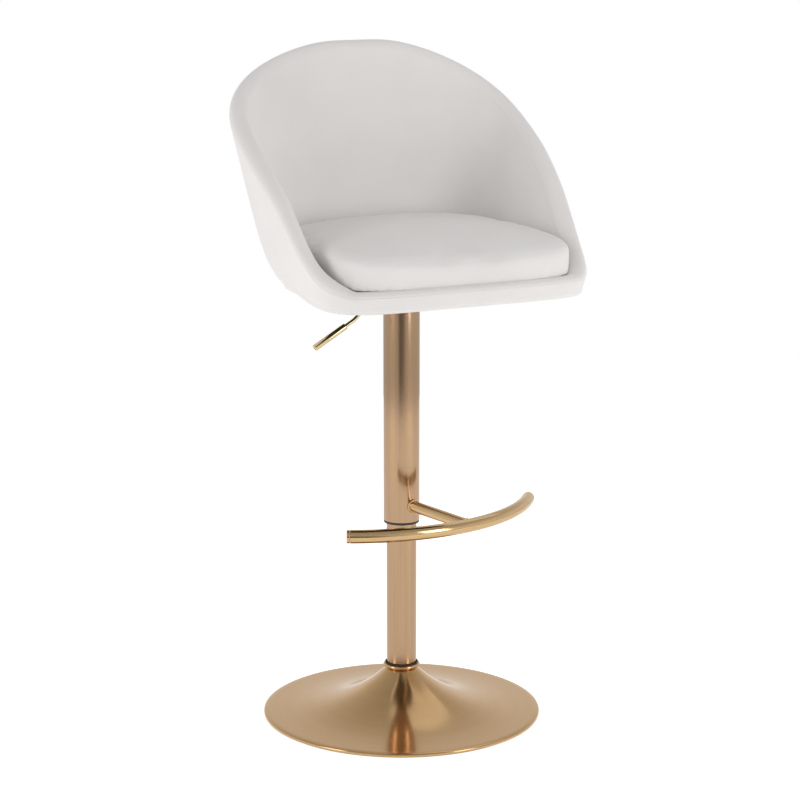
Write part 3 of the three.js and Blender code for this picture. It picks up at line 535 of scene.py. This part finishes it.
def on_arc(angle):
    """The bar's centreline before the turn: (R sin a, centre - R cos a, z)."""
    angle = np.asarray(angle, float)
    z = np.full_like(angle, bar_z)
    return np.stack([ARC_RADIUS * np.sin(angle), arc_centre - ARC_RADIUS * np.cos(angle), z], -1)


angles = np.linspace(-HALF_ANGLE, HALF_ANGLE, 121)
edge = 0.8 * MM / ARC_RADIUS
first, last = angles[0], angles[-1]
angles = np.concatenate([[first, first, first + edge], angles[1:-1], [last - edge, last, last]])
radii = np.full(len(angles), bar_radius)
radii[[0, -1]] = 0
radii[[1, -2]] = bar_radius - 0.8 * MM
order = np.argsort(angles, kind="stable")
path = on_arc(angles[order])
tangent = np.stack([np.cos(angles[order]), np.sin(angles[order]), np.zeros(len(angles))], -1)
side = np.cross(tangent, [0, 0, 1])
around = np.arange(48) / 48 * TURN
circle = np.cos(around)[None, :, None] * side[:, None] + np.sin(around)[None, :, None] * np.array([0, 0, 1])
bar = piece_from("footrest_arc", spin(path[:, None] + radii[:, None, None] * circle, FOOTREST_TURN))
fit(bar, "seat", footrest_painted_light_gold, "rose_gold", "footrest_bar")

# %% Strut and welds
STRUT_RADIUS = 9.5 * MM
STRUT_RISE = 4 * MM


def strut_line(around, reach):
    """A point on the strut's skin: at reach 0 on the sleeve, at 1 on the bar, straight between."""
    x, up = STRUT_RADIUS * np.cos(around), STRUT_RADIUS * np.sin(around)
    start = -np.sqrt((sleeve_radius + GAP) ** 2 - x ** 2)
    bar_back = arc_centre - np.sqrt(ARC_RADIUS ** 2 - x ** 2) + np.sqrt((bar_radius + GAP) ** 2 - up ** 2)
    y = start + (bar_back - start) * reach
    z = bar_z + STRUT_RISE * (1 - reach) + up
    return np.stack(np.broadcast_arrays(x, y, z), -1)


around = np.arange(64)[None, :] / 64 * TURN
reach = np.linspace(0, 1, 12)[:, None]
skin = strut_line(around, reach)
ends = [np.broadcast_to(skin[i].mean(0), skin[0].shape)[None] for i in (0, -1)]
strut = piece_from("footrest_strut_tube", spin(np.concatenate([ends[0], skin, ends[1]]), FOOTREST_TURN))
fit(strut, "seat", footrest_painted_light_gold, "rose_gold", "footrest_strut")


def weld_bead(name, at, size, lift):
    """A thin round bead that follows the strut's cut, a little rippled as a weld is."""
    turn = np.arange(96) / 96 * TURN
    line = strut_line(turn, at)
    line[:, 1] += lift
    outward = np.stack([np.cos(turn), np.zeros(96), np.sin(turn)], -1)
    along = np.array([0, 1.0, 0])
    section = np.arange(12) / 12 * TURN
    radius = size * (1 + 0.1 * np.sin(turn * 24))
    offset = np.cos(section)[None, :, None] * outward[:, None] + np.sin(section)[None, :, None] * along
    grid = line[:, None] + radius[:, None, None] * offset
    bead_piece = piece_from(name, spin(grid, FOOTREST_TURN), close_rows=True)
    return fit(bead_piece, "seat", footrest_painted_light_gold, "rose_gold")


weld_bead("weld_at_sleeve", 0, 1.7 * MM, -1.2 * MM)
weld_bead("weld_at_bar", 1, 1.3 * MM, 0.9 * MM)


# %% [markdown]
# ## Plugs in the bar's ends
# Each end of the bar is closed by a pressed plug. Its edge is well rounded and its middle a little
# dished, so the rim shows as a bright ring. It is a turned profile laid over onto the bar's axis.
# %% End plugs
def end_plug(name, side, stands_for):
    """Turned about its own axis u, then laid along the bar's outward direction at that end."""
    radius = bar_radius - 0.2 * MM
    corners = [[0, GAP], [radius, GAP], [radius, 5.2 * MM], [radius - 3.4 * MM, 5.2 * MM], [0, 4.4 * MM]]
    profile = eased(corners, [0, 0.3 * MM, 3 * MM, 1.2 * MM, 0])
    direction = np.array([side * math.cos(HALF_ANGLE), math.sin(HALF_ANGLE), 0])
    across = np.cross(direction, [0, 0, 1])
    angle = np.arange(64)[None, :] / 64 * TURN
    radial = np.cos(angle)[..., None] * across + np.sin(angle)[..., None] * np.array([0, 0, 1])
    grid = on_arc(side * HALF_ANGLE) + profile[:, :1, None] * radial + profile[:, 1:, None] * direction
    plug = piece_from(name, spin(grid, FOOTREST_TURN), close_rows=True)
    return fit(plug, "seat", footrest_painted_light_gold, "rose_gold", stands_for)


end_plug("bar_plug_left", -1, "footrest_cap_left")
end_plug("bar_plug_right", 1, "footrest_cap_right")

# %% [markdown]
# ## The lever
# A thin polished rod leaves the mechanism, bends down beside the sleeve and ends in a thicker grip.
# The path is straight runs joined by short curves; the radius steps up where the grip begins.
# %% Lever
lift = next(j for j in frame["joints"] if j["name"] == "lever_lift")
lever_z = lift["pos_m"][2]
LEVER_RADIUS = 3.1 * MM
GRIP_RADIUS = 5.3 * MM
GRIP_SHARE = 0.27
bend = np.array([-56 * MM, 0, lever_z])
knee = np.array([-82 * MM, 0, lever_z - 35 * MM])
tip = np.array([-158 * MM, 0, lever_z - 78 * MM])
start = np.array([2 * MM, 0, lever_z])
grip_start = knee + (tip - knee) * GRIP_SHARE


def bent(before, corner, after, steps):
    """A parabola from one point to another, drawn towards the corner between them."""
    t = np.linspace(0, 1, steps)[:, None]
    return (1 - t) ** 2 * before + 2 * t * (1 - t) * corner + t ** 2 * after


def part_way(a, b, share):
    return a + (b - a) * share


path = np.concatenate([
    np.linspace(start, part_way(start, bend, 0.75), 12)[:-1],
    bent(part_way(start, bend, 0.75), bend, part_way(bend, knee, 0.35), 14)[:-1],
    np.linspace(part_way(bend, knee, 0.35), part_way(bend, knee, 0.7), 6)[:-1],
    bent(part_way(bend, knee, 0.7), knee, part_way(knee, grip_start, 0.4), 14)[:-1],
    np.linspace(part_way(knee, grip_start, 0.4), part_way(grip_start, knee, 0.02), 6),
])
grid = swept_grid(path, np.full(len(path), LEVER_RADIUS), (0, 1, 0), sides=28)
caps = [np.broadcast_to(p, (1, 28, 3)) for p in (path[0], path[-1])]
arm = piece_from("lever_arm", np.concatenate([caps[0], grid, caps[1]]))
fit(arm, "lever", lever_gold, "bright_gold", "lever_rod")

length = np.linalg.norm(tip - grip_start)
direction = (tip - grip_start) / length
corners = [[0, 0], [GRIP_RADIUS, 0], [GRIP_RADIUS, length], [GRIP_RADIUS - 2.2 * MM, length],
           [GRIP_RADIUS - 2.6 * MM, length - 1.6 * MM], [0, length - 1.6 * MM]]
profile = eased(corners, [0, 1.2 * MM, 1.1 * MM, 0.5 * MM, 0.4 * MM, 0])
across = np.array([0, 1.0, 0])
upward = np.cross(direction, across)
angle = np.arange(48)[None, :] / 48 * TURN
radial = np.cos(angle)[..., None] * across + np.sin(angle)[..., None] * upward
grid = grip_start + profile[:, :1, None] * radial + profile[:, 1:, None] * direction
grip = piece_from("lever_handle", grid, close_rows=True)
fit(grip, "lever", lever_gold, "bright_gold", "lever_grip")

# %% [markdown]
# ## The bucket's shape
# The bucket is drawn in plan as three nested outlines - the foot, the rim and the inside - and its
# rim climbs from a low front rail over the arms to the back. An outline is a superellipse whose
# reach, width and squareness differ at the front and the back; everything else follows from it.
# %% Outlines and heights
cover_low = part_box("outer_cover")[0]
pad_low, pad_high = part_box("inner_pad")
seat_bottom, seat_top = cover_low.z, pad_high.z
rail_top = seat_bottom + 34 * MM
half_width, front_reach, back_reach = pad_high.x, -pad_low.y, pad_high.y
FOOT = (0.186, 0.252, 0.244, 0.124, 2.6)
RIM = (half_width, 0.228, front_reach, back_reach, 3.45)
INSIDE = (0.196, 0.228, 0.219, 0.116, 2.8)
ROLL = 14 * MM
STRAIGHT = 0.69
BULGE = 8.5
CORNER = math.radians(42)
CLIMB = np.array([[0, 0], [0.1, 0.11], [0.24, 0.388], [0.45, 0.663], [0.64, 0.89], [0.8, 0.983], [1, 1]])


def outline(shape, angle):
    """Distance to a superellipse with its own half width, front width, reach, back and squareness.
    Angle 0 is the front and a positive angle turns towards +X."""
    middle, front, reach, back, back_square = shape
    across, along = np.abs(np.sin(angle)), np.cos(angle)
    ahead = along > 0
    half = middle + np.where(ahead, (front - middle) * np.clip(along, 0, 1) ** 1.2, 0)
    length = np.where(ahead, reach, back)
    square = np.where(ahead, 6.0, back_square)
    return ((across / half) ** square + (np.abs(along) / length) ** square) ** (-1 / square)


def climb(share):
    """A smooth curve through the climb's points: cubic pieces with the slopes of their neighbours."""
    x, y = CLIMB.T
    slope = np.empty(len(x))
    slope[1:-1] = (y[2:] - y[:-2]) / (x[2:] - x[:-2])
    slope[0], slope[-1] = (y[1] - y[0]) / (x[1] - x[0]), 0
    i = np.clip(np.searchsorted(x, share, side="right") - 1, 0, len(x) - 2)
    width = x[i + 1] - x[i]
    t = (share - x[i]) / width
    start = (2 * t ** 3 - 3 * t ** 2 + 1) * y[i] + (t ** 3 - 2 * t ** 2 + t) * width * slope[i]
    return start + (3 * t ** 2 - 2 * t ** 3) * y[i + 1] + (t ** 3 - t ** 2) * width * slope[i + 1]


def from_front(angle):
    return np.abs((angle + math.pi) % TURN - math.pi)


def rim_height(angle):
    """Level over the front rail, then the climb over the arms to the back."""
    share = np.clip((from_front(angle) - CORNER) / (math.pi - CORNER), 0, 1)
    return rail_top + (seat_top - rail_top) * climb(share)


def outer_radius(angle, z):
    """The outer wall swings out from the foot to the rim: part of it at once, the rest evenly."""
    share = np.clip((z - seat_bottom) / (rim_height(angle) - ROLL - seat_bottom), 0, 1)
    foot = outline(FOOT, angle)
    swing = STRAIGHT * share + (1 - STRAIGHT) * (1 - (1 - share) ** BULGE)
    return foot + (outline(RIM, angle) - foot) * swing


def inner_radius(angle, z):
    """The inner wall leans out from the floor to the rim's roll and keeps room for the frame."""
    share = np.clip((z - rail_top) / (rim_height(angle) - rail_top + MM), 0, 1)
    floor_radius = outline(INSIDE, angle)
    lean = floor_radius + (outline(RIM, angle) - 2 * ROLL - floor_radius) * share
    return np.minimum(lean, outer_radius(angle, z) - 20.6 * MM)


PAD_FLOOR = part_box("inner_pad")[0].z


def roll_depth(angle):
    return np.minimum(ROLL + 3 * MM, (rim_height(angle) - PAD_FLOOR) * 0.5)


plan = np.arange(288)[:, None] / 288 * TURN
print("rim from", round(float(rim_height(plan).min()), 3), "to", round(float(rim_height(plan).max()), 3))


def around_bucket(radius, z):
    """Points at a plan angle, a distance from the pole and a height: (r sin a, -r cos a, z)."""
    return np.stack(np.broadcast_arrays(radius * np.sin(plan), -radius * np.cos(plan), z), -1)


# %% [markdown]
# ## The outer cover
# One skin of leather wraps the outside of the bucket: it turns in under the board at the foot with
# a small radius and is sewn to the inner padding below the rim. The section is a closed loop, the
# skin outside and its back 3 mm inside it.
# %% Outer cover
COVER = 3 * MM
LIP = 26 * MM
FOOT_EASE = 7 * MM
SEAM_GAP = 0.25 * MM
board_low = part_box("base_board")[0].z
shoulder = rim_height(plan) - roll_depth(plan)
foot = outline(FOOT, plan)
lip_top = board_low - GAP

rise = np.linspace(0, 1, 60)[None, :]
bottom = seat_bottom + FOOT_EASE
wall_z = bottom + (shoulder - SEAM_GAP - bottom) * rise
wall = around_bucket(outer_radius(plan, wall_z), wall_z)
turn = np.linspace(0, math.pi / 2, 9)[None, :-1]
hem_z = bottom - FOOT_EASE * np.cos(turn)
hem = around_bucket(outer_radius(plan, bottom) - FOOT_EASE * (1 - np.sin(turn)), hem_z)
back_z = lip_top + (shoulder - SEAM_GAP - lip_top) * np.linspace(1, 0, 24)[None, :]
back = around_bucket(outer_radius(plan, back_z) - COVER, back_z)
lip = [around_bucket(foot - LIP, np.full_like(foot, z)) for z in (lip_top, seat_bottom)]
outer = piece_from("bucket_cover", np.concatenate([hem, wall, back, *lip], 1), close_rows=True)
fit(outer, "seat", leather, "leather", "outer_cover")

# %% [markdown]
# ## The inner padding
# The padding starts at the floor of the bucket, runs up the inside, rolls over the rim and meets
# the cover at a plain seam below the roll. The roll is half an ellipse in section. The foam thins
# near the floor, where the wall needs the room, and swells a little halfway up the back, where it
# is pulled least.
# %% Inner padding
PLY = 8 * MM
PLY_GAP = 1.8 * MM
LEDGE_GAP = 1.2 * MM
SWELL = 2.0 * MM

inner_z = PAD_FLOOR + (shoulder - PAD_FLOOR) * (np.linspace(0, 1, 64)[None, :] ** 1.25)
level = np.clip((inner_z - rail_top) / (shoulder - rail_top + MM), 0, 1)
swell = SWELL * np.sin(math.pi * level) ** 2 * np.clip(-np.cos(plan), 0, 1)
inside = around_bucket(inner_radius(plan, inner_z) - swell, inner_z)
outer_edge = outer_radius(plan, shoulder)
inner_edge = inner_radius(plan, shoulder)
middle, reach = (outer_edge + inner_edge) / 2, (outer_edge - inner_edge) / 2
turn = np.linspace(0, math.pi, 33)[None, 1:]
roll = around_bucket(middle - reach * np.cos(turn), shoulder + (rim_height(plan) - shoulder) * np.sin(turn))
frame_back = outer_radius(plan, shoulder) - COVER - 2 * PLY_GAP - PLY
tuck = around_bucket(outer_edge - COVER * np.array([[0.5, 1.0]]), shoulder + 0.0 * outer_edge)
behind_z = PAD_FLOOR + (shoulder - LEDGE_GAP - PAD_FLOOR) * np.linspace(1, 0, 20)[None, :]
behind = around_bucket(outer_radius(plan, behind_z) - COVER - 2 * PLY_GAP - PLY, behind_z)
ledge = around_bucket(frame_back, shoulder)
sections = np.concatenate([inside, roll, tuck, ledge, behind], 1)
padding = piece_from("bucket_padding", sections, close_rows=True)
fit(padding, "seat", leather, "padding", "inner_pad")

# %% [markdown]
# ## The cushion
# The cushion is foam in a leather case: flat underneath, crowned on top, with an upright front that
# reaches over the rail and presses into it, so that only a fine line shows between the two. A drawn
# shape gives its plan and height, and a short cloth simulation with a little air inside then rounds
# it as foam rounds its case. The mesh is evened out first, no point may move more than a few
# millimetres, and it stays inside the drawn plan, clear of the arms.
# %% Drawn cushion
cushion_low, cushion_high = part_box("seat_cushion")
CROWN = cushion_high.z
FRONT_HEIGHT = cushion_low.z + 43 * MM
CLEARANCE = 2.5 * MM
OVER_RAIL = (0.215, 0.215, 0.2405, 0.215, 2.0)
RAIL_FADE = math.radians(41), math.radians(56)      # the reach over the rail ends between these
DRAPE = 8 * MM            # how far the front edge is pressed into the rail's soft top
LOW_EASE = 3 * MM
CUSHION_SKIN = 1 * MM     # the drawn shape starts this much smaller than its case


def ease(t):
    t = np.clip(t, 0, 1)
    return t * t * (3 - 2 * t)


def cushion_radius(angle):
    """The bucket's inside less a clearance, or the outline over the rail where that reaches
    farther: a squarer front than the bucket's inside, nearly flush with the rail."""
    inside = inner_radius(angle, cushion_low.z) - CLEARANCE
    begin, end = RAIL_FADE
    kept = 1 - ease((from_front(angle) - begin) / (end - begin))
    return inside + np.maximum(outline(OVER_RAIL, angle) - inside, 0) * kept


def cushion_grid(shrink):
    """Sections from the bottom's middle out, up the upright side, round the top edge and in over
    the crown. The edge is an ellipse: 12 mm tall at the back, 26 mm tall at the front."""
    radius = cushion_radius(plan) - shrink
    front = np.clip(np.cos(plan), 0, 1) ** 2
    low, high = cushion_low.z + shrink, CROWN - shrink
    edge_z = high - 26 * MM + (FRONT_HEIGHT - high) * front
    edge_tall = (12 + 14 * front) * MM
    share = np.linspace(0, 0.985, 22)[None, :]
    lowest = low - DRAPE * front ** 0.5
    rows = [around_bucket(radius * share, low + (lowest - low) * ease((share - 0.945) / 0.035))]
    turn = np.linspace(-math.pi / 2, 0, 7)[None, 1:]
    under_edge = radius * (0.985 + 0.015 * np.cos(turn))
    rows.append(around_bucket(under_edge, lowest + LOW_EASE * (1 + np.sin(turn))))
    rise = np.linspace(0, 1, 6)[None, 1:]
    rows.append(around_bucket(radius, lowest + LOW_EASE + (edge_z - lowest - LOW_EASE) * rise))
    turn = np.linspace(0, math.pi / 2, 12)[None, 1:]
    rows.append(around_bucket(radius * (0.88 + 0.12 * np.cos(turn)), edge_z + edge_tall * np.sin(turn)))
    share = np.linspace(0.88, 0, 22)[None, 1:]
    edge_top = edge_z + edge_tall
    rows.append(around_bucket(radius * share, edge_top + (high - edge_top) * (1 - (share / 0.88) ** 2)))
    return np.concatenate(rows, 1)


drawn = cushion_grid(CUSHION_SKIN)
cushion = piece_from("cushion", drawn, close_rows=True, close_columns=False, sharp=180)


# %% Blow the cushion up gently
def simulate(piece, voxel=0.0055, pressure=3.0, most=5 * MM):
    """Evens out the mesh, runs twenty frames of cloth with air inside, and limits each move."""
    evened = piece.modifiers.new("even", "REMESH")
    evened.mode = "VOXEL"
    evened.voxel_size = voxel
    evened.use_smooth_shade = True
    settle(piece)
    start = points_of(piece)
    cloth = piece.modifiers.new("cloth", "CLOTH")
    cloth.settings.quality = 6
    cloth.settings.mass = 0.35
    cloth.settings.tension_stiffness = 22
    cloth.settings.compression_stiffness = 22
    cloth.settings.bending_stiffness = 2.0
    cloth.settings.use_pressure = True
    cloth.settings.uniform_pressure_force = pressure
    cloth.settings.effector_weights.gravity = 0
    for step in range(1, 21):
        bpy.context.scene.frame_set(step)
    settle(piece)
    moved = points_of(piece) - start
    far = np.linalg.norm(moved, axis=1, keepdims=True)
    kept = start + moved * np.minimum(1, most / np.maximum(far, 1e-9))
    bpy.context.scene.frame_set(1)
    return kept


def points_of(piece):
    """The mesh's points as an array."""
    flat = np.empty(len(piece.data.vertices) * 3)
    piece.data.vertices.foreach_get("co", flat)
    return flat.reshape(-1, 3)


def settle(piece):
    """Replaces the mesh by what its modifiers make of it."""
    made = bpy.data.meshes.new_from_object(piece.evaluated_get(bpy.context.evaluated_depsgraph_get()))
    piece.modifiers.clear()
    piece.data = made


def keep_clear(points):
    """Holds the points inside the drawn plan, above the board and below the crown's allowance."""
    angle = np.arctan2(points[:, 0], -points[:, 1])
    distance = np.hypot(points[:, 0], points[:, 1])
    limit = cushion_radius(angle)
    shrink = np.minimum(1, limit / np.maximum(distance, 1e-9))
    points[:, :2] *= shrink[:, None]
    points[:, 2] = np.clip(points[:, 2], cushion_low.z - DRAPE, CROWN + 5 * MM)
    return points


blown = keep_clear(simulate(cushion))
cushion.data.vertices.foreach_set("co", blown.ravel())
finer = cushion.modifiers.new("finer", "SUBSURF")
finer.levels = finer.render_levels = 1
settle(cushion)
cushion.data.shade_smooth()
print("cushion faces:", len(cushion.data.polygons))
fit(cushion, "seat", leather, "padding", "seat_cushion")

# %% [markdown]
# ## Dust cover
# Thin black cloth is stapled under the board to close the seat from below. It is nearly flat, so it
# is one sheet a quarter of a millimetre thick that sags a little between its staples.
# %% Dust cover
dust_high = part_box("dust_cover")[1]
CLOTH = 0.3 * MM
rim_line = outline(FOOT, plan) - LIP - 4 * MM
share = np.linspace(0, 1, 30)[None, :]
sag = 0.35 * MM * (1 - share ** 2)
upper = around_bucket(rim_line * share, dust_high.z - sag)
lower = around_bucket(rim_line * share[:, ::-1], dust_high.z - CLOTH - sag[:, ::-1])
dust = piece_from("under_cloth", np.concatenate([upper, lower], 1), close_rows=True, close_columns=False)
fit(dust, "seat", finishes["dust_cloth"], "dust_cloth", "dust_cover")
